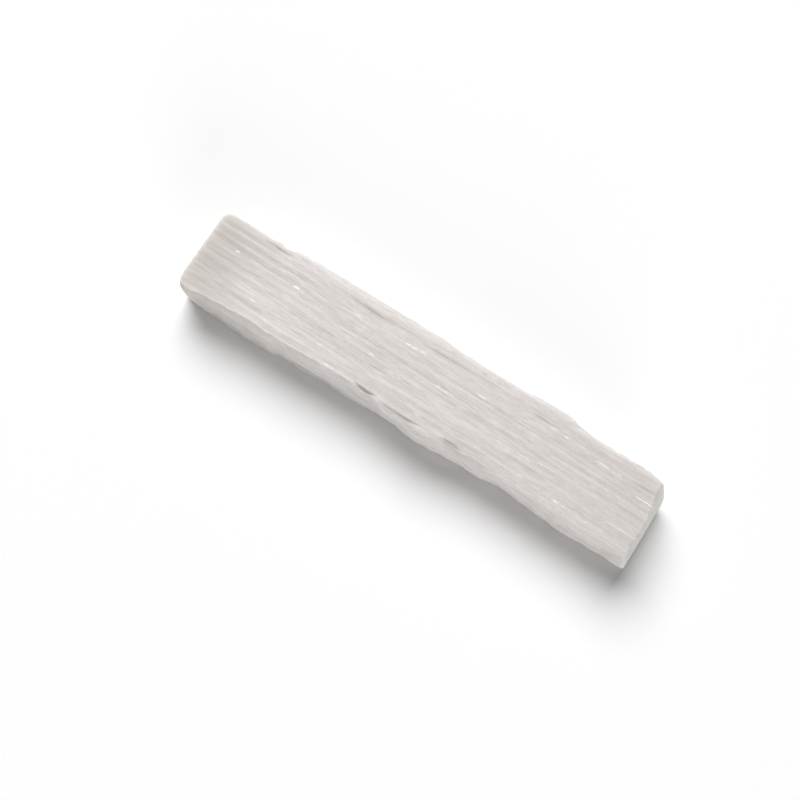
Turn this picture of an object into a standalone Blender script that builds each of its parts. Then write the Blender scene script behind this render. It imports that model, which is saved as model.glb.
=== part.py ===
"""Selenite blade: a raw stick of satin spar (white fibrous gypsum), split along its fibres and sawn off.

It lies on its broad face. +X runs along the fibres, +Y across the broad face and +Z up. The origin is on
the surface that it lies on, under the middle of the stick.
"""

import math

import bmesh
import bpy
from mathutils import Vector, noise

MM = 0.001

# Overall size
LENGTH = 152 * MM
WIDTH = 26 * MM
THICKNESS = 16.5 * MM

# How finely the block is divided: pieces along the fibres, across the broad face and up the sides
ALONG = 50
ACROSS = 24
UP = 12
END_CROWDING = 0.25

# The stick's long lines, as (distance along from the middle, how far it stands out past half the width), in
# mm. "far" is the +Y side and "near" the -Y side; an edge is the top of a side, a foot its lowest line.
FAR_EDGE = [
    (-76, -2.4), (-75.2, -1.0), (-72.5, -0.2), (-66, -0.3), (-55, -0.1), (-50, 0.8), (-39, 1.2), (-17, 1.7),
    (0, 1.9), (4, 1.4), (16, 1.2), (26, 1.3), (31, 2.0), (41.5, 2.3), (46, 0.8), (49, 0.5), (65, 0.9),
    (76, -0.3),
]
FAR_FOOT = [
    (-75, -3.4), (-60, -1.8), (-40, -1.0), (-15, -0.2), (10, -0.6), (35, 0.4), (50, -0.5), (76, -1.2),
]
NEAR_EDGE = [
    (-76, 0.4), (-75.3, 1.2), (-74.2, 1.9), (-72.5, 2.2), (-66, 0.9), (-51, 0.1), (-45, 0.6), (-28, -0.2),
    (-21, -0.7), (-11, -0.4), (-6, 0.7), (4, 1.5), (8, 1.3), (14, 0.2), (20, -0.4), (33, -0.6), (50, -0.5),
    (75, -0.3),
]
NEAR_FOOT = [
    (-76, -2.2), (-74, -1.4), (-64, -0.7), (-48, -0.4), (-45, -0.7), (-41, -1.5), (-33, -1.4), (-26, -1.9),
    (-20, -1.7), (-10, -2.2), (-2, -2.5), (6, -1.3), (11, -1.7), (21, -3.3), (25, -2.4), (28, -2.5),
    (33, -3.8), (47, -2.8), (56, -2.2), (67, -2.8), (75, -2.6),
]

# Each side bulges most at this share of its height, by this much: (distance along, bulge), in mm
BULGE_HEIGHT = 0.5
FAR_BULGE = [(-75, 0.5), (75, 0.5)]
NEAR_BULGE = [(-75, 0.4), (4, 0.4), (20, 1.1), (33, 0.8), (58, 1.3), (68, 1.1), (75, 1.2)]

# The long bevels along the top edges: their height, and their width as (distance along, width), in mm
BEVEL_HEIGHT = 1.375 * MM
FAR_BEVEL = [(-75, 1.0), (-40, 1.2), (-20, 1.9), (40, 2.0), (46, 1.0), (75, 0.8)]
NEAR_BEVEL = [(-75, 0.5), (4, 0.4), (20, 0.6), (75, 0.6)]

# Right of the middle the top slopes down gently to the near edge, from a low ridge: (distance along, how
# far the ridge stands out past half the width), in mm
NEAR_RIDGE = [(2, 1.5), (12, -1.5), (20, -4.6), (74, -2.5)]
NEAR_SLOPE = 0.17

# How far each sawn end falls short of the full length, as (distance across, shortfall), in mm. The ends
# draw in from this distance on.
LEFT_END = [(-14, 1.2), (-10, 0.8), (0, 0.4), (6, 0.2), (14, 0.0)]
RIGHT_END = [(-14, 0.2), (-8, 0.0), (14, 0.0)]
END_REACH = 12 * MM

# The right end leans back, most of all near its top: how far its top edge lies in from its foot, as
# (distance across, lean) in mm, and the power of the height that the lean grows with
RIGHT_LEAN = [(-14, 2.7), (0, 2.4), (4, 2.9), (9, 3.8), (13, 4.2)]
LEAN_CURVE = 1.6

# The rims of both ends are broken by a small bevel
SAW_BEVEL = 0.4 * MM

# Splinters torn out along the fibres: start, end, place of the steep wall, width of the ramp and depth, in
# mm. A negative width ramps towards -Y on the broad faces, and downwards on the sides.
TOP_SPLINTERS = [
    (-80, -57, 4.7, -3.0, 0.16), (-80, -55, -3.4, -2.4, 0.12), (-71, -54, -8.4, -2.4, 0.14),
    (-63, -49, 10.8, -3.2, 0.40), (-51, -38, -7.5, -2.2, 0.12), (-46, -23, -3.1, -2.6, 0.14),
    (-32, -14, 9.8, -3.2, 0.35), (-19, -7, -4.4, -2.2, 0.12), (-6, 9, 9.6, -2.8, 0.30),
    (-7, 7, 5.9, -2.0, 0.16), (1, 37, 0.1, -3.0, 0.15), (28, 46, -5.4, -2.6, 0.15),
    (30, 40, 9.4, -3.0, 0.35), (56, 71, -0.6, -2.6, 0.13), (63, 80, 8.0, -2.8, 0.20),
    (-17, -8, -11.5, -1.6, 0.40), (-9, 2, -13.0, -1.4, 0.45), (-3, 7, -13.5, -1.4, 0.45),
]
FAR_SPLINTERS = [
    (-72, -18, 11.5, -4.5, 1.0), (-38, 16, 6.0, -3.6, 0.9), (4, 52, 12.5, -4.0, 1.1),
    (38, 80, 7.5, -4.2, 0.8), (-80, -44, 4.5, -3.0, 0.7),
]
NEAR_SPLINTERS = [
    (-72, -38, 10.5, -4.0, 0.5), (-30, 6, 12.0, -3.4, 0.5), (12, 22, 14.3, -1.8, 0.5),
    (20, 28, 11.0, -1.6, 0.5), (27, 34, 12.4, -1.4, 0.4), (31, 38, 9.2, -1.4, 0.4),
    (41, 50, 8.6, -1.6, 0.5), (22, 80, 5.2, -3.2, 0.5), (-52, -6, 4.4, -3.0, 0.6),
    (67, 82, 15.0, -9.0, 0.9),
]
UNDER_SPLINTERS = [
    (-80, -30, 9.0, -3.6, 0.6), (-12, 48, -5.5, -3.4, 0.5), (22, 80, 9.6, -3.6, 0.7),
    (-52, 2, -7.5, -3.2, 0.5),
]
# A splinter gets shallower over this length or this share of it at each end, and its wall over this share
# of the ramp
SPLINTER_TAPER = 6 * MM
TAPER_SHARE = 0.35
WALL_SHARE = 0.28

# The bundles of fibres leave low ridges this far apart and this long. Each face has its own, by its number,
# and the lower its level, the more of it is left flat: the underside keeps the flat lands that it rests on.
TOP, FAR, NEAR, UNDER = 1, 2, 3, 4
BUNDLE_WIDTH = 1.6 * MM
BUNDLE_LENGTH = 38 * MM
BUNDLE_DEPTH = 0.15 * MM
BUNDLE_LEVEL = {TOP: 0.25, FAR: 0.3, NEAR: 0.3, UNDER: -0.15}

SIDES = {
    FAR: (FAR_EDGE, FAR_FOOT, FAR_BULGE, FAR_BEVEL, FAR_SPLINTERS),
    NEAR: (NEAR_EDGE, NEAR_FOOT, NEAR_BULGE, NEAR_BEVEL, NEAR_SPLINTERS),
}

# Corners broken off flat: a point on the break and the way that it faces, in mm
CHIPS = [
    ((-73.7, -12.2, 2.6), (-0.64, -0.70, -0.30)),
    ((-74.3, 9.6, 2.0), (-0.50, 0.60, -0.62)),
    ((75.3, 10.4, 1.2), (0.48, 0.62, -0.62)),
]

SPAR_WHITE = (0.80, 0.775, 0.745, 1.0)
SPAR_ROUGHNESS = 0.42


def read_line(points, distance):
    """The value of a line of straight runs, given as points in mm, at a distance; both are in metres."""
    distance /= MM
    if distance <= points[0][0]:
        return points[0][1] * MM
    for (start, low), (end, high) in zip(points, points[1:]):
        if distance <= end:
            return (low + (high - low) * (distance - start) / (end - start)) * MM
    return points[-1][1] * MM


def eased(share):
    """A share from 0 to 1 with a soft start and a soft end, held inside that range."""
    share = min(1.0, max(0.0, share))
    return share * share * (3 - 2 * share)


def torn_depth(splinters, along, across):
    """How deep the splinters torn out of one face lie at a point of it."""
    deepest = 0.0
    for start, end, wall, width, depth in splinters:
        taper = min(SPLINTER_TAPER, TAPER_SHARE * (end - start) * MM)
        ends = eased(min(along - start * MM, end * MM - along) / taper)
        share = (across / MM - wall) / width
        if ends <= 0 or not -WALL_SHARE < share < 1:
            continue
        profile = eased(1 + share / WALL_SHARE) if share < 0 else 1 - share
        deepest = max(deepest, depth * MM * ends * profile)
    return deepest


def bundle_depth(face, along, across):
    """How far the surface lies below the tops of the ridges that the bundles of fibres leave."""
    height = noise.noise(Vector((along / BUNDLE_LENGTH, across / BUNDLE_WIDTH, 10.0 * face)))
    return BUNDLE_DEPTH * max(0.0, BUNDLE_LEVEL[face] - height)


def side_reach(side, along, up):
    """How far a side stands out from the middle plane, at a share of the height."""
    edge, foot, bulge, bevel, splinters = SIDES[side]
    share = up / BULGE_HEIGHT if up < BULGE_HEIGHT else (1 - up) / (1 - BULGE_HEIGHT)
    reach = WIDTH / 2 + read_line(bulge, along) * math.sin(share * math.pi / 2)
    reach += read_line(foot, along) * (1 - up) + read_line(edge, along) * up
    below_top = (1 - up) * THICKNESS
    reach -= read_line(bevel, along) * max(0.0, 1 - below_top / BEVEL_HEIGHT)
    height = up * THICKNESS
    return reach - torn_depth(splinters, along, height) - bundle_depth(side, along, height)


def sloped_depth(along, across):
    """How far the top has come down on its slope from the low ridge to the near edge."""
    return NEAR_SLOPE * max(0.0, -across - WIDTH / 2 - read_line(NEAR_RIDGE, along))


def station(u):
    """How far along the stick a ring of the block lies: the last but one is a saw bevel from the end."""
    spread = u * ALONG / (ALONG - 2)
    if abs(spread) > 1.0001:
        return math.copysign(LENGTH / 2, u)
    return (LENGTH / 2 - SAW_BEVEL) * spread * (1 + END_CROWDING * (1 - spread * spread))


def place(u, v, w):
    """Where a point of the plain block, with u, v and w from -1 to 1, lies on the stick."""
    along = station(u)
    up = (w + 1) / 2
    rim = max(0.0, SAW_BEVEL - (LENGTH / 2 - abs(along)))
    levels = []
    for level in (0.0, up, 1.0):
        far = side_reach(FAR, along, level) - rim
        near = side_reach(NEAR, along, level) - rim
        levels.append((far * (v + 1) - near * (1 - v)) / 2)
    bottom, across, top = levels
    underside = torn_depth(UNDER_SPLINTERS, along, bottom) + bundle_depth(UNDER, along, bottom) + rim
    upper_face = THICKNESS - torn_depth(TOP_SPLINTERS, along, top) - bundle_depth(TOP, along, top) - rim
    upper_face -= sloped_depth(along, top)
    height = underside + (upper_face - underside) * up
    if u > 0:
        shortfall = read_line(RIGHT_END, across) + read_line(RIGHT_LEAN, across) * up**LEAN_CURVE
    else:
        shortfall = read_line(LEFT_END, across)
    to_end = LENGTH / 2 - abs(along)
    along -= math.copysign(shortfall * eased(1 - to_end / END_REACH), u)
    return Vector((along, across, height))


def divided_block():
    """A block from -1 to 1 each way, divided into a grid on all six faces."""
    block = bmesh.new()
    bmesh.ops.create_cube(block, size=2)
    for axis, pieces in enumerate((ALONG, ACROSS, UP)):
        edges = [e for e in block.edges if abs(e.verts[0].co[axis] - e.verts[1].co[axis]) > 1]
        bmesh.ops.subdivide_edges(block, edges=edges, cuts=pieces - 1, use_grid_fill=True)
    return block


def break_corners(stick):
    """Moves whatever lies outside each break back onto its plane, which leaves a flat facet."""
    for point, facing in CHIPS:
        point = Vector(point) * MM
        facing = Vector(facing).normalized()
        for vertex in stick.verts:
            outside = (vertex.co - point).dot(facing)
            if outside > 0:
                vertex.co -= facing * outside


def spar_material():
    """White satin spar with a silky gloss."""
    material = bpy.data.materials.new("selenite")
    material.use_nodes = True
    shader = material.node_tree.nodes["Principled BSDF"]
    shader.inputs["Base Color"].default_value = SPAR_WHITE
    shader.inputs["Roughness"].default_value = SPAR_ROUGHNESS
    shader.inputs["Metallic"].default_value = 0.0
    material.diffuse_color = SPAR_WHITE
    return material


def make_stick():
    """The whole blade, as one closed solid."""
    stick = divided_block()
    for vertex in stick.verts:
        vertex.co = place(*vertex.co)
    break_corners(stick)
    bmesh.ops.recalc_face_normals(stick, faces=stick.faces)
    mesh = bpy.data.meshes.new("selenite_blade")
    stick.to_mesh(mesh)
    stick.free()
    mesh.materials.append(spar_material())
    blade = bpy.data.objects.new("selenite_blade", mesh)
    bpy.context.scene.collection.objects.link(blade)


for old in list(bpy.data.objects):
    bpy.data.objects.remove(old, do_unlink=True)
make_stick()
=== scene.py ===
"""A selenite blade on a pale floor: the fine shape and finish of the stick, then floor, light and camera.

Everything is in metres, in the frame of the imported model: +X runs along the fibres, +Y across the broad
face and +Z up.
"""

import math

import bmesh
import bpy
from mathutils import Matrix, Vector, noise


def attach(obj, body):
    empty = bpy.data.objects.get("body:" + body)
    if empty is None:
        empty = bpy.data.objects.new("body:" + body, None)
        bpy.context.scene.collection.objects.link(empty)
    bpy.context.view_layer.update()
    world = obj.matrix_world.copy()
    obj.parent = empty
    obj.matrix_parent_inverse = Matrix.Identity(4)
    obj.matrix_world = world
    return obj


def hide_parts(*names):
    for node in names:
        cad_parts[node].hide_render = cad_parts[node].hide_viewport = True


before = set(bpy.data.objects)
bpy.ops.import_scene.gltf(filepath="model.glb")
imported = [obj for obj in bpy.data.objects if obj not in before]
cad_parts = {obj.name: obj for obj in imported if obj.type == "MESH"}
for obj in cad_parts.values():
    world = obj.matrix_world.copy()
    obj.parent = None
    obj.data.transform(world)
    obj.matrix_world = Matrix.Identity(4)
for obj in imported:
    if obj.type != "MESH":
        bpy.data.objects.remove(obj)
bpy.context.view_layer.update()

# ----------------------------------------------------------------------------------------------------------
# The blade. One stick of satin spar: gypsum grown as parallel fibres, which split off in long thin
# splinters. The four long faces are split along the fibres, and a saw has cut both ends square, which
# leaves them flat and matt.
# ----------------------------------------------------------------------------------------------------------

MM = 0.001
LENGTH = 152 * MM
WIDTH = 26 * MM
THICKNESS = 16.5 * MM

# The grid that the block is divided into: along the fibres, across the broad face and up the sides
ALONG, ACROSS, UP = 176, 136, 80
END_CROWDING = 0.25
LAST_RING = 0.25 * MM

# The long lines of the stick: (distance along from the middle, how far it stands out past half the width),
# in mm
FAR_EDGE = [
    (-76, -2.4), (-75.2, -1.0), (-72.5, -0.2), (-66, -0.3), (-55, -0.1), (-50, 0.8), (-39, 1.2), (-17, 1.7),
    (0, 1.9), (4, 1.4), (16, 1.2), (26, 1.3), (31, 2.0), (41.5, 2.3), (46, 0.8), (49, 0.5), (65, 0.9),
    (76, -0.3),
]
FAR_FOOT = [
    (-75, -3.4), (-60, -1.8), (-40, -1.0), (-15, -0.2), (10, -0.6), (35, 0.4), (50, -0.5), (76, -1.2),
]
NEAR_EDGE = [
    (-76, 0.4), (-75.3, 1.2), (-74.2, 1.9), (-72.5, 2.2), (-66, 0.9), (-51, 0.1), (-45, 0.6), (-28, -0.2),
    (-21, -0.7), (-11, -0.4), (-6, 0.7), (4, 1.5), (8, 1.3), (14, 0.2), (20, -0.4), (33, -0.6), (50, -0.5),
    (75, -0.3),
]
NEAR_FOOT = [
    (-76, -2.2), (-74, -1.4), (-64, -0.7), (-48, -0.4), (-45, -0.7), (-41, -1.5), (-33, -1.4), (-26, -1.9),
    (-20, -1.7), (-10, -2.2), (-2, -2.5), (6, -1.3), (11, -1.7), (21, -3.3), (25, -2.4), (28, -2.5),
    (33, -3.8), (47, -2.8), (56, -2.2), (67, -2.8), (75, -2.6),
]

# How far each side bulges at half its height, and the width of the long bevel that breaks its top edge
BULGE_HEIGHT = 0.5
FAR_BULGE = [(-75, 0.5), (75, 0.5)]
NEAR_BULGE = [(-75, 0.4), (4, 0.4), (20, 1.1), (33, 0.8), (58, 1.3), (68, 1.1), (75, 1.2)]
BEVEL_HEIGHT = 1.375 * MM
FAR_BEVEL = [(-75, 0.3), (-54, 0.4), (-46, 1.2), (-20, 1.9), (40, 2.0), (46, 1.0), (75, 0.8)]
NEAR_BEVEL = [(-75, 0.5), (4, 0.4), (20, 0.6), (75, 0.6)]
BEVEL_UNEVENNESS = 0.4
BEVEL_RUN = 5 * MM

# The sides are ragged along their whole length: how far, and the length of one dent
RAGGED_EDGE = 0.35 * MM
RAGGED_RUN = 3.5 * MM

# Right of the middle the top slopes down gently from a low ridge to the near edge: (distance along, ridge),
# in mm
NEAR_RIDGE = [(2, 1.5), (12, -1.5), (20, -4.6), (74, -2.5)]
NEAR_SLOPE = 0.17

# How far each sawn end falls short of the full length: (distance across, shortfall), in mm
LEFT_END = [(-14, 1.2), (-10, 0.8), (0, 0.4), (6, 0.2), (14, 0.0)]
RIGHT_END = [(-14, 0.2), (-8, 0.0), (14, 0.0)]
END_REACH = 12 * MM

# The right end leans back, most of all near its top: how far its top edge lies in from its foot, as
# (distance across, lean) in mm, and the power of the height that the lean grows with
RIGHT_LEAN = [(-14, 2.7), (0, 2.4), (4, 2.9), (9, 3.6), (13, 3.7)]
LEAN_CURVE = 1.6

# Splinters torn out along the fibres: start, end, place of the steep wall, width of the ramp and depth, in
# mm
TOP_SPLINTERS = [
    (-80, -57, 4.7, -3.0, 0.06), (-80, -55, -3.4, -2.4, 0.06), (-71, -54, -8.4, -2.4, 0.08),
    (-63, -49, 10.8, -3.2, 0.32), (-51, -38, -7.5, -2.2, 0.12), (-46, -23, -3.1, -2.6, 0.14),
    (-32, -14, 9.8, -3.2, 0.24), (-19, -7, -4.4, -2.2, 0.12), (-6, 9, 9.6, -2.8, 0.22),
    (-7, 7, 5.9, -2.0, 0.16), (1, 37, 0.1, -3.0, 0.15), (28, 46, -5.4, -2.6, 0.15),
    (30, 40, 9.4, -3.0, 0.24), (56, 71, -0.6, -2.6, 0.13), (63, 80, 8.0, -2.8, 0.20),
    (-17, -8, -11.4, -2.9, 0.75), (-9, 7, -12.3, -4.0, 0.85), (-3, 7, -13.5, -1.4, 0.75),
    (-31, -24, -12.2, -1.9, 0.60), (-25, -18, -12.6, -1.4, 0.45), (12, 21, -11.4, -3.0, 0.7),
]
FAR_SPLINTERS = [
    (-72, -18, 11.5, -4.5, 1.0), (-38, 16, 6.0, -3.6, 0.9), (4, 52, 12.5, -4.0, 1.1),
    (38, 80, 7.5, -4.2, 0.8), (-80, -44, 4.5, -3.0, 0.7),
]
NEAR_SPLINTERS = [
    (-72, -38, 10.5, -4.0, 0.5), (-30, 6, 12.0, -3.4, 0.5), (12, 22, 14.3, -1.8, 0.3),
    (20, 28, 11.0, -1.6, 0.5), (27, 34, 12.4, -1.4, 0.4), (31, 38, 9.2, -1.4, 0.4),
    (41, 50, 8.6, -1.6, 0.5), (22, 80, 5.2, -3.2, 0.5), (-52, -6, 4.4, -3.0, 0.6),
    (58, 84, 13.4, -4.0, 0.45), (65, 84, 15.2, -5.0, 0.7), (-78, -44, 15.8, -2.2, 0.45),
    (-47, -14, 15.7, -2.4, 0.5), (-17, 10, 15.6, -2.6, 0.55),
]
UNDER_SPLINTERS = [
    (-80, -30, 9.0, -3.6, 0.6), (-12, 48, -5.5, -3.4, 0.5), (22, 80, 9.6, -3.6, 0.7),
    (-52, 2, -7.5, -3.2, 0.5),
]

# A splinter runs out at both ends, the deeper the more slowly, its floor is uneven, more finely the thinner
# it is, and its steep wall takes a small share of its width and wanders a little
TAPER_LENGTH = 4
TAPER_BY_DEPTH = 14
TAPER_SHARE = 0.35
UNEVEN_LENGTH = 2
UNEVEN_BY_DEPTH = 9
WALL_SHARE = 0.12
WALL_WANDER = 0.22 * MM
WANDER_RUN = 4 * MM

# The top dips a little and ends in a raised lip at the near edge and at the low ridge; places are measured
# in from them
NEAR_LIPS = [(-50, -22, 0.9, 2.0, 0.08)]
RIDGE_LIPS = [(14, 80, 0.3, 2.4, 0.12)]

# Bundles of fibres leave low ridges; the underside keeps the flat lands that it rests on, and the top split
# cleanest
TOP, FAR, NEAR, UNDER = 1, 2, 3, 4
BUNDLE_WIDTH = 1.6 * MM
BUNDLE_LENGTH = 38 * MM
BUNDLE_DEPTH = 0.15 * MM
BUNDLE_LEVEL = {TOP: 0.25, FAR: 0.3, NEAR: 0.3, UNDER: -0.15}
COARSENESS = {TOP: 0.75, FAR: 1.8, NEAR: 1.5, UNDER: 1.0}

# Single fibres show as narrow grooves, and thin flakes of them end in low steps, each over the last part of
# its width
FIBRE_WIDTH = 0.75 * MM
FIBRE_LENGTH = 14 * MM
FIBRE_DEPTH = 0.06 * MM
FIBRE_SPREAD = 0.22
FLAKE_WIDTH = 2.2 * MM
FLAKE_LENGTH = 40 * MM
FLAKE_STEP = 0.07 * MM
FLAKE_STEPS = 3.0
STEP_SHARE = 0.3

# Painted glints where small cleavage faces catch light: start, end, place across the top and strength, in mm
PAINTED_GLINTS = [
    (-46.4, -42.8, 3.5, 1.0), (-66.8, -65.4, 3.2, 0.6), (-54.6, -53.2, -7.0, 0.6),
    (-31.2, -29.0, -7.4, 0.6), (-28.0, -24.8, 6.4, 0.9), (-17.8, -16.0, -1.5, 0.9), (-10.2, -7.2, 7.0, 0.9),
    (-6.6, -3.8, 7.3, 0.9), (40.8, 43.2, 8.6, 0.7), (53.0, 57.0, 7.4, 0.9), (58.4, 61.2, 7.4, 0.6),
    (67.2, 74.2, 4.6, 0.8), (39.4, 42.2, -2.3, 0.9), (48.6, 53.6, -9.2, 0.9), (3.0, 15.0, 0.9, 0.4),
    (-11.0, -5.0, -3.1, 0.5), (22.0, 39.0, -3.3, 0.4),
    (14.4, 17.8, 5.4, 0.6), (-25.8, -23.4, -11.4, 0.7), (2.9, 4.8, -9.5, 0.6), (12.5, 13.9, -9.2, 0.6),
    (22.0, 40.0, -8.4, 0.4), (40.0, 56.0, -8.9, 0.4), (56.0, 74.4, -9.4, 0.4), (49.0, 74.4, 1.7, 0.25),
    (64.0, 74.4, -6.2, 0.45),
]
PAINTED_GLINT_WIDTH = 0.45 * MM

# The ends are darker and smoother; hollows on the sides, which light passes through, get less painted shade
END_ZONE = 27 * MM
END_SMOOTHING = 0.55
RIGHT_END_SHARE = 0.2
SIDE_SHADE = 0.5

# Corners broken off flat: a point on the break and the way that it faces, in mm
CHIPS = [
    ((-73.7, -12.2, 2.6), (-0.64, -0.70, -0.30)),
    ((-74.3, 9.6, 2.0), (-0.50, 0.60, -0.62)),
    ((75.3, 10.4, 1.2), (0.48, 0.62, -0.62)),
]

SIDES = {
    FAR: (FAR_EDGE, FAR_FOOT, FAR_BULGE, FAR_BEVEL, FAR_SPLINTERS),
    NEAR: (NEAR_EDGE, NEAR_FOOT, NEAR_BULGE, NEAR_BEVEL, NEAR_SPLINTERS),
}


def read_line(points, distance):
    """The value of a line of straight runs, given as points in mm, at a distance; both are in metres."""
    distance /= MM
    if distance <= points[0][0]:
        return points[0][1] * MM
    for (start, low), (end, high) in zip(points, points[1:]):
        if distance <= end:
            return (low + (high - low) * (distance - start) / (end - start)) * MM
    return points[-1][1] * MM


def eased(share):
    """A share from 0 to 1 with a soft start and a soft end, held inside that range."""
    share = min(1.0, max(0.0, share))
    return share * share * (3 - 2 * share)


def torn_depth(splinters, along, across):
    """How deep the splinters torn out of one face lie at a point of it."""
    deepest = 0.0
    for start, end, wall, width, depth in splinters:
        taper = min((TAPER_LENGTH + TAPER_BY_DEPTH * depth) * MM, TAPER_SHARE * (end - start) * MM)
        ends = eased(min(along - start * MM, end * MM - along) / taper)
        if ends <= 0 or abs(across / MM - wall) > 1 + abs(width):
            continue
        wander = WALL_WANDER * noise.noise(Vector((along / WANDER_RUN, wall, 5.1)))
        share = ((across + wander) / MM - wall) / width
        if not -WALL_SHARE < share < 1:
            continue
        profile = eased(1 + share / WALL_SHARE) if share < 0 else 1 - share
        uneven_run = (UNEVEN_LENGTH + UNEVEN_BY_DEPTH * depth) * MM
        ragged = 0.9 + 0.6 * noise.noise(Vector((along / uneven_run, wall, depth)))
        deepest = max(deepest, depth * MM * ends * profile * ragged)
    return deepest


def fibre_depth(face, along, across):
    """How far the surface lies below the tops of the bundles, flakes and fibres of one face."""
    bundle = noise.noise(Vector((along / BUNDLE_LENGTH, across / BUNDLE_WIDTH, 10.0 * face)))
    depth = BUNDLE_DEPTH * max(0.0, BUNDLE_LEVEL[face] - bundle)
    if face == UNDER and depth == 0.0:
        return 0.0
    fibre = noise.noise(Vector((along / FIBRE_LENGTH, across / FIBRE_WIDTH, 10.0 * face + 3)))
    depth += FIBRE_DEPTH * max(0.0, 1 - abs(fibre) / FIBRE_SPREAD)
    flake = noise.noise(Vector((along / FLAKE_LENGTH, across / FLAKE_WIDTH, 10.0 * face + 6)))
    flake = FLAKE_STEPS * (flake + 1)
    step = math.floor(flake)
    depth += FLAKE_STEP * (step + eased((flake - step - 0.7) / STEP_SHARE) - FLAKE_STEPS + 0.5)
    return COARSENESS[face] * depth * (1 - END_SMOOTHING * end_share(along))


def side_reach(side, along, up):
    """How far a side stands out from the middle plane, at a share of the height."""
    edge, foot, bulge, bevel, splinters = SIDES[side]
    share = up / BULGE_HEIGHT if up < BULGE_HEIGHT else (1 - up) / (1 - BULGE_HEIGHT)
    reach = WIDTH / 2 + read_line(bulge, along) * math.sin(share * math.pi / 2)
    reach += read_line(foot, along) * (1 - up) + read_line(edge, along) * up
    reach += RAGGED_EDGE * noise.noise(Vector((along / RAGGED_RUN, 2 * up, 10.0 * side)))
    below_top = (1 - up) * THICKNESS
    chipped = 1 + BEVEL_UNEVENNESS * noise.noise(Vector((along / BEVEL_RUN, 3.3, 10.0 * side)))
    reach -= chipped * read_line(bevel, along) * max(0.0, 1 - below_top / BEVEL_HEIGHT)
    return reach


def side_depth(side, along, up):
    """How deep the relief of a side lies at a share of the height."""
    splinters = SIDES[side][4]
    height = up * THICKNESS
    return torn_depth(splinters, along, height) + fibre_depth(side, along, height)


def sloped_depth(along, across):
    """How far the top has come down on its slope from the low ridge to the near edge."""
    return NEAR_SLOPE * max(0.0, -across - WIDTH / 2 - read_line(NEAR_RIDGE, along))


def station(u):
    """How far along the stick a ring of the block lies: the rings crowd towards the ends."""
    spread = u * ALONG / (ALONG - 2)
    if abs(spread) > 1.0001:
        return math.copysign(LENGTH / 2, u)
    return (LENGTH / 2 - LAST_RING) * spread * (1 + END_CROWDING * (1 - spread * spread))


def rim_width(face, across):
    """How wide the saw has chipped the edge between a face and the nearest end."""
    chip = noise.noise(Vector((across / (2.4 * MM), 10.0 * face, 1.7)))
    return MM * (0.35 + 1.1 * max(0.0, chip - 0.1))


def place(u, v, w):
    """Where a point of the plain block, with u, v and w from -1 to 1, lies, and how deep its hollow is."""
    along = station(u)
    up = (w + 1) / 2
    to_end = LENGTH / 2 - abs(along)
    side = FAR if v > 0 else NEAR
    end_mark = 20 if u > 0 else 0
    levels = []
    for level in (0.0, up, 1.0):
        far_depth = side_depth(FAR, along, level)
        near_depth = side_depth(NEAR, along, level)
        if level == up:
            side_hollow = far_depth if v > 0 else near_depth
        far_depth += max(0.0, rim_width(FAR + end_mark, level * THICKNESS) - to_end)
        near_depth += max(0.0, rim_width(NEAR + end_mark, level * THICKNESS) - to_end)
        far = side_reach(FAR, along, level) - far_depth
        near = side_reach(NEAR, along, level) - near_depth
        levels.append((far * (v + 1) - near * (1 - v)) / 2)
    bottom, across, top = levels
    under_depth = max(0.0, torn_depth(UNDER_SPLINTERS, along, bottom) + fibre_depth(UNDER, along, bottom))
    top_depth = torn_depth(TOP_SPLINTERS, along, top) + fibre_depth(TOP, along, top)
    top_depth += torn_depth(NEAR_LIPS, along, top + WIDTH / 2 + read_line(NEAR_EDGE, along))
    top_depth += torn_depth(RIDGE_LIPS, along, top + WIDTH / 2 + read_line(NEAR_RIDGE, along))
    underside = under_depth + max(0.0, rim_width(UNDER + end_mark, bottom) - to_end)
    sawn_rim = max(0.0, rim_width(TOP + end_mark, top) - to_end)
    upper_face = THICKNESS - sloped_depth(along, top) - top_depth - sawn_rim
    height = underside + (upper_face - underside) * up
    if u > 0:
        shortfall = read_line(RIGHT_END, across) + read_line(RIGHT_LEAN, across) * up**LEAN_CURVE
    else:
        shortfall = read_line(LEFT_END, across)
    along -= math.copysign(shortfall * eased(1 - to_end / END_REACH), u)
    # The depth of a hollow sets how much painted shade it gets; on the sides it gets less
    if w > 0.999:
        hollow = top_depth
    elif w < -0.999:
        hollow = under_depth
    else:
        hollow = SIDE_SHADE * side_hollow
    return Vector((along, across, height)), hollow


def painted_glint_strength(along, across):
    """How strongly the painted glints whiten a point of the top."""
    for start, end, middle, strength in PAINTED_GLINTS:
        if start * MM <= along <= end * MM and abs(across - middle * MM) < PAINTED_GLINT_WIDTH / 2:
            return strength
    return 0.0


def end_share(along):
    """How much the ends darken and smooth the stick at a point: the left end most, the right a little."""
    left = eased(1 - (along + LENGTH / 2) / END_ZONE)
    right = eased(1 - (LENGTH / 2 - along) / END_ZONE)
    return max(left, RIGHT_END_SHARE * right)


def painted_light_share(point):
    """How much painted light brightens the near side at a point: most towards its right half and its top."""
    return 0.6 * eased((point.x - 6 * MM) / (16 * MM)) * eased((point.z - 4 * MM) / (12 * MM))


def divided_block():
    """A block from -1 to 1 each way, divided into a grid on all six faces."""
    block = bmesh.new()
    bmesh.ops.create_cube(block, size=2)
    for axis, pieces in enumerate((ALONG, ACROSS, UP)):
        edges = [e for e in block.edges if abs(e.verts[0].co[axis] - e.verts[1].co[axis]) > 1]
        bmesh.ops.subdivide_edges(block, edges=edges, cuts=pieces - 1, use_grid_fill=True)
    return block


def break_corners(stick):
    """Moves whatever lies outside each break back onto its plane, which leaves a flat facet."""
    for point, facing in CHIPS:
        point = Vector(point) * MM
        facing = Vector(facing).normalized()
        for vertex in stick.verts:
            outside = (vertex.co - point).dot(facing)
            if outside > 0:
                vertex.co -= facing * outside


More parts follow.
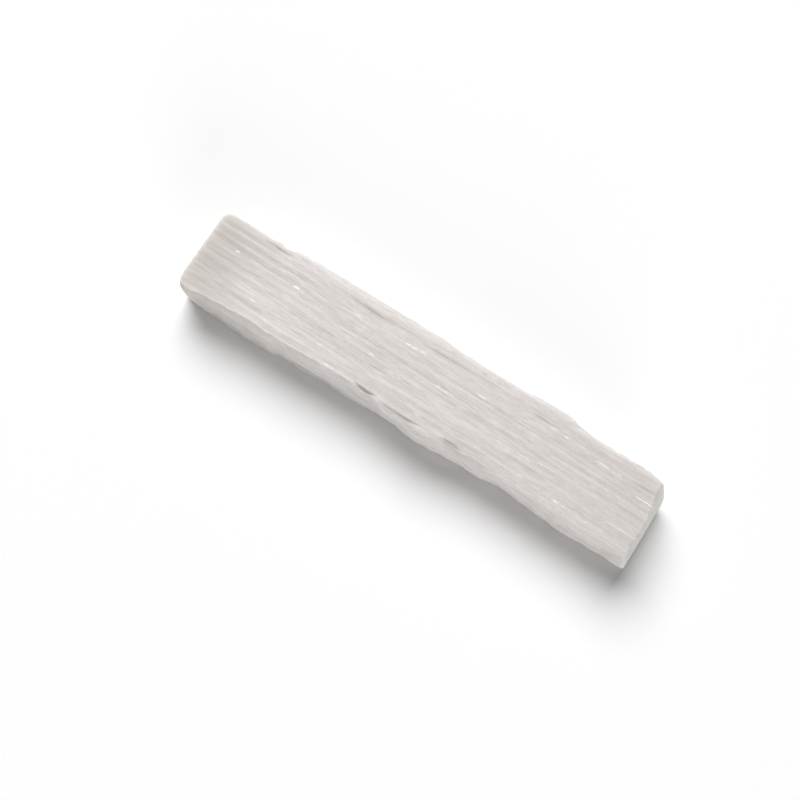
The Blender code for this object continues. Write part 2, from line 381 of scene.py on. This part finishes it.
stick = divided_block()
# The layers carry painted shade in the hollows, the darker ends, painted glints and painted light on the
# near side
hollow_layer = stick.verts.layers.float.new("hollow")
sawn_layer = stick.verts.layers.float.new("sawn")
end_layer = stick.verts.layers.float.new("end_tone")
painted_glint_layer = stick.verts.layers.float.new("painted_glint")
painted_light_layer = stick.verts.layers.float.new("painted_light")
for vertex in stick.verts:
    u, v, w = vertex.co
    vertex.co, hollow = place(u, v, w)
    vertex[hollow_layer] = hollow / MM
    vertex[sawn_layer] = 1.0 if abs(u) > 0.9999 else 0.0
    vertex[end_layer] = end_share(vertex.co.x)
    vertex[painted_glint_layer] = painted_glint_strength(vertex.co.x, vertex.co.y) if w > 0.999 else 0.0
    vertex[painted_light_layer] = painted_light_share(vertex.co) if v < -0.999 else 0.0
break_corners(stick)
bmesh.ops.recalc_face_normals(stick, faces=stick.faces)
mesh = bpy.data.meshes.new("selenite_stick")
stick.to_mesh(mesh)
stick.free()
mesh.shade_smooth()
mesh.set_sharp_from_angle(angle=math.radians(40))
blade = bpy.data.objects.new("selenite_stick", mesh)
bpy.context.scene.collection.objects.link(blade)


def new_material(name):
    """A material with only its Principled shader, and that shader."""
    material = bpy.data.materials.new(name)
    material.use_nodes = True
    return material, material.node_tree.nodes["Principled BSDF"]


spar, shader = new_material("satin_spar")
nodes = spar.node_tree.nodes
links = spar.node_tree.links


def grain(name, along, across, detail=2.0, roughness=0.5, offset=0.0, up=None):
    """Noise drawn out along the fibres: the length, width and height of its marks, in metres."""
    place_node = nodes.new("ShaderNodeTexCoord")
    mapping = nodes.new("ShaderNodeMapping")
    mapping.inputs["Location"].default_value = (offset, offset, offset)
    mapping.inputs["Scale"].default_value = (1 / along, 1 / across, 1 / (up or across))
    texture = nodes.new("ShaderNodeTexNoise")
    texture.name = name
    texture.inputs["Scale"].default_value = 1.0
    texture.inputs["Detail"].default_value = detail
    texture.inputs["Roughness"].default_value = roughness
    links.new(place_node.outputs["Object"], mapping.inputs["Vector"])
    links.new(mapping.outputs["Vector"], texture.inputs["Vector"])
    return texture.outputs["Fac"]


def spread(value, low, high, to_low=0.0, to_high=1.0):
    """The value stretched from one range to another, and held inside it."""
    ranged = nodes.new("ShaderNodeMapRange")
    ranged.interpolation_type = "SMOOTHSTEP"
    ranged.inputs["From Min"].default_value = low
    ranged.inputs["From Max"].default_value = high
    ranged.inputs["To Min"].default_value = to_low
    ranged.inputs["To Max"].default_value = to_high
    links.new(value, ranged.inputs["Value"])
    return ranged.outputs["Result"]


def set_or_link(socket, value):
    """Gives a socket a plain value, or the output of another node."""
    if isinstance(value, bpy.types.NodeSocket):
        links.new(value, socket)
    else:
        socket.default_value = value


def tinted(colour, share, tint):
    """The colour mixed with a tint by a share."""
    mix = nodes.new("ShaderNodeMix")
    mix.data_type = "RGBA"
    colour_socket, tint_socket = [socket for socket in mix.inputs if socket.type == "RGBA"]
    set_or_link(mix.inputs[0], share)
    set_or_link(colour_socket, colour)
    set_or_link(tint_socket, tint)
    return next(socket for socket in mix.outputs if socket.type == "RGBA")


def scaled(value, factor, added=0.0):
    """The value times a factor, plus a number."""
    sum_node = nodes.new("ShaderNodeMath")
    sum_node.operation = "MULTIPLY_ADD"
    for socket, part in zip(sum_node.inputs, (value, factor, added)):
        set_or_link(socket, part)
    return sum_node.outputs["Value"]


def marked(layer):
    """A value that the mesh carries."""
    attribute = nodes.new("ShaderNodeAttribute")
    attribute.attribute_name = layer
    return attribute.outputs["Fac"]


PALE = (0.67, 0.633, 0.613, 1.0)
GREY = (0.60, 0.562, 0.543, 1.0)
# Milky white, for the milky streaks, clouding and flecks, and for the painted light on the near side
MILKY_AND_PAINTED_LIGHT = (0.765, 0.735, 0.722, 1.0)
# Painted shade for the hollows, darker still in the deepest ones
SHADED = (0.47, 0.44, 0.41, 1.0)
DEEP_SHADE = (0.33, 0.295, 0.265, 1.0)
STAINED = (0.58, 0.52, 0.45, 1.0)
# Painted highlight for the glints
PAINTED_GLINT_WHITE = (0.95, 0.94, 0.93, 1.0)
# Darker tone towards the ends
END_TONE = (0.53, 0.49, 0.46, 1.0)
SAWN = (0.66, 0.635, 0.61, 1.0)
CUT_SHADE = (0.54, 0.51, 0.48, 1.0)
# Painted shade of the small pits in the sawn ends
PIT_SHADE = (0.23, 0.16, 0.10, 1.0)
SAW_STROKE = 8 * MM

# The marks along the fibres: name, length and width in mm, detail, roughness, offset of the pattern, the
# range of the pattern that shows, how much it shows, and its colour
STREAKS = [
    ("bundles", 36, 0.9, 3.0, 0.5, 0.0, 0.42, 0.62, 1.0, GREY),
    ("milky streaks", 16, 0.5, 3.0, 0.6, 5.0, 0.54, 0.72, 1.0, MILKY_AND_PAINTED_LIGHT),
    ("fine fibres", 4, 0.3, 2.0, 0.6, 9.0, 0.5, 0.7, 0.7, GREY),
    ("clouding", 3.6, 0.9, 3.0, 0.6, 27.0, 0.45, 0.7, 0.5, MILKY_AND_PAINTED_LIGHT),
    ("flecks", 0.9, 0.35, 1.0, 0.5, 51.0, 0.55, 0.72, 0.5, MILKY_AND_PAINTED_LIGHT),
    ("stains", 22, 3, 3.0, 0.6, 61.0, 0.55, 0.75, 0.25, STAINED),
]

# Painted light: the near side is painted lighter, most towards its right half and its top
colour = tinted(PALE, marked("painted_light"), MILKY_AND_PAINTED_LIGHT)
for name, along, across, detail, coarse, offset, low, high, share, tint in STREAKS:
    pattern = grain(name, along * MM, across * MM, detail, coarse, offset)
    colour = tinted(colour, spread(pattern, low, high, 0.0, share), tint)
# Painted shade: the deeper the relief lies, the darker its colour
colour = tinted(colour, spread(marked("hollow"), 0.12, 0.6, 0.0, 0.6), SHADED)
colour = tinted(colour, spread(marked("hollow"), 0.5, 0.95, 0.0, 0.45), DEEP_SHADE)
# Darker towards the ends, the left end most
colour = tinted(colour, scaled(marked("end_tone"), 0.9), END_TONE)

cut_fibres = grain("cut fibres", 0.7 * MM, 0.7 * MM, 3.0, 0.7, 31.0)
cut = tinted(SAWN, spread(cut_fibres, 0.5, 0.75, 0.0, 0.6), CUT_SHADE)
saw_marks = grain("saw marks", 1.0, 0.45 * MM, 1.0, 0.4, 37.0, SAW_STROKE)
cut = tinted(cut, spread(saw_marks, 0.5, 0.75, 0.0, 0.35), CUT_SHADE)
# Painted shade: dark spots on the sawn ends stand in for the shade in small pits, which are not modelled
pit_shade = grain("pit_shade", 1.3 * MM, 1.3 * MM, 0.0, 0.5, 43.0)
cut = tinted(cut, spread(pit_shade, 0.82, 0.88), PIT_SHADE)
colour = tinted(colour, marked("sawn"), cut)

# Painted highlight: the glints are painted near white, broken up along the fibres
broken = spread(grain("broken gleams", 1.2 * MM, 0.3 * MM, 1.0, 0.5, 21.0), 0.38, 0.58)
colour = tinted(colour, scaled(marked("painted_glint"), broken), PAINTED_GLINT_WHITE)
links.new(colour, shader.inputs["Base Color"])

# Light sinks a few millimetres into the spar, but not at painted glints, and the surface is silky, not
# polished
SUBSURFACE = 0.6
roughness = spread(grain("gloss", 14 * MM, 0.7 * MM, 2.0, 0.5, 13.0), 0.35, 0.65, 0.38, 0.62)
links.new(roughness, shader.inputs["Roughness"])
shader.inputs["IOR"].default_value = 1.52
links.new(scaled(marked("painted_glint"), -SUBSURFACE, SUBSURFACE), shader.inputs["Subsurface Weight"])
shader.inputs["Subsurface Radius"].default_value = (1.0, 0.95, 0.85)
shader.inputs["Subsurface Scale"].default_value = 6 * MM

fine_relief = grain("fibre bump", 7 * MM, 0.28 * MM, 3.0, 0.6, 17.0)
saw_relief = grain("saw bump", 1.0, 0.35 * MM, 2.0, 0.5, 37.0, SAW_STROKE)
relief = nodes.new("ShaderNodeMix")
links.new(marked("sawn"), relief.inputs["Factor"])
links.new(fine_relief, relief.inputs["A"])
links.new(saw_relief, relief.inputs["B"])
bump = nodes.new("ShaderNodeBump")
bump.inputs["Strength"].default_value = 0.45
bump.inputs["Distance"].default_value = 0.12 * MM
links.new(relief.outputs["Result"], bump.inputs["Height"])
links.new(bump.outputs["Normal"], shader.inputs["Normal"])

mesh.materials.append(spar)
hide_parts("selenite_blade")
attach(blade, "root")

# ----------------------------------------------------------------------------------------------------------
# The floor that the blade lies on. It is one plain sheet, pale and matt, wide enough to fill the view from
# above, and it lies a hair below the blade.
# ----------------------------------------------------------------------------------------------------------

FLOOR_SIZE = 6.0
FLOOR_GAP = 0.05 * MM
FLOOR_WHITE = (0.98, 0.98, 0.98, 1.0)

floor_form = bmesh.new()
bmesh.ops.create_grid(floor_form, x_segments=1, y_segments=1, size=FLOOR_SIZE / 2)
bmesh.ops.translate(floor_form, vec=(0, 0, -FLOOR_GAP), verts=floor_form.verts)
floor_mesh = bpy.data.meshes.new("floor")
floor_form.to_mesh(floor_mesh)
floor_form.free()
floor = bpy.data.objects.new("floor", floor_mesh)
bpy.context.scene.collection.objects.link(floor)
floor_paint, floor_shader = new_material("floor_white")
floor_shader.inputs["Base Color"].default_value = FLOOR_WHITE
floor_shader.inputs["Roughness"].default_value = 0.9
floor_shader.inputs["Specular IOR Level"].default_value = 0.1
floor_mesh.materials.append(floor_paint)

# ----------------------------------------------------------------------------------------------------------
# The light: a wide lamp high behind the blade, a weaker one low in front of it, and a white room all round,
# whose walls are bright near the floor and dim above.
# ----------------------------------------------------------------------------------------------------------

ROOM_WHITE = (1.0, 1.0, 1.0, 1.0)
ROOM_STRENGTH = 0.10
WALL_STRENGTH = 0.85
WALL_LOW = 0.03
WALL_HIGH = 0.30
LAMPS = [
    ("back_lamp", (-3.0, 3.0, 5.3), 6.0, 575.0),
    ("front_lamp", (1.3, -1.45, 0.34), 1.0, 16.5),
]

room = bpy.data.worlds.new("room")
room.use_nodes = True
air = room.node_tree.nodes
background = air["Background"]
background.inputs["Color"].default_value = ROOM_WHITE
direction = air.new("ShaderNodeTexCoord")
parts = air.new("ShaderNodeSeparateXYZ")
rise = air.new("ShaderNodeMapRange")
rise.interpolation_type = "SMOOTHSTEP"
rise.inputs["From Min"].default_value = WALL_LOW
rise.inputs["From Max"].default_value = WALL_HIGH
rise.inputs["To Min"].default_value = WALL_STRENGTH
rise.inputs["To Max"].default_value = ROOM_STRENGTH
room.node_tree.links.new(direction.outputs["Generated"], parts.inputs["Vector"])
room.node_tree.links.new(parts.outputs["Z"], rise.inputs["Value"])
room.node_tree.links.new(rise.outputs["Result"], background.inputs["Strength"])
bpy.context.scene.world = room

for name, stand, size, power in LAMPS:
    lamp_data = bpy.data.lights.new(name, "AREA")
    lamp_data.shape = "DISK"
    lamp_data.size = size
    lamp_data.energy = power
    lamp = bpy.data.objects.new(name, lamp_data)
    lamp.location = stand
    lamp.rotation_euler = Vector(stand).to_track_quat("Z", "Y").to_euler()
    bpy.context.scene.collection.objects.link(lamp)

# ----------------------------------------------------------------------------------------------------------
# The camera: it looks down from high above the near side of the blade, and is turned so that the blade
# runs down to the right.
# ----------------------------------------------------------------------------------------------------------

CAMERA_STAND = Vector((0.0414, -0.1326, 0.3879))
CAMERA_AIM = Vector((-0.0027, -0.0081, 0.0151))
PICTURE_TURN = math.radians(32.65)
LENS = 63.0
SENSOR = 36.0

back = (CAMERA_STAND - CAMERA_AIM).normalized()
up_on_floor = Vector((-math.sin(PICTURE_TURN), math.cos(PICTURE_TURN), 0))
right = up_on_floor.cross(back).normalized()
camera_data = bpy.data.cameras.new("camera")
camera_data.lens = LENS
camera_data.sensor_width = SENSOR
camera_data.clip_start = 0.01
camera = bpy.data.objects.new("camera", camera_data)
turned = Matrix((right, back.cross(right), back)).transposed().to_4x4()
camera.matrix_world = Matrix.Translation(CAMERA_STAND) @ turned
bpy.context.scene.collection.objects.link(camera)
bpy.context.scene.camera = camera
bpy.context.scene.view_settings.view_transform = "Standard"
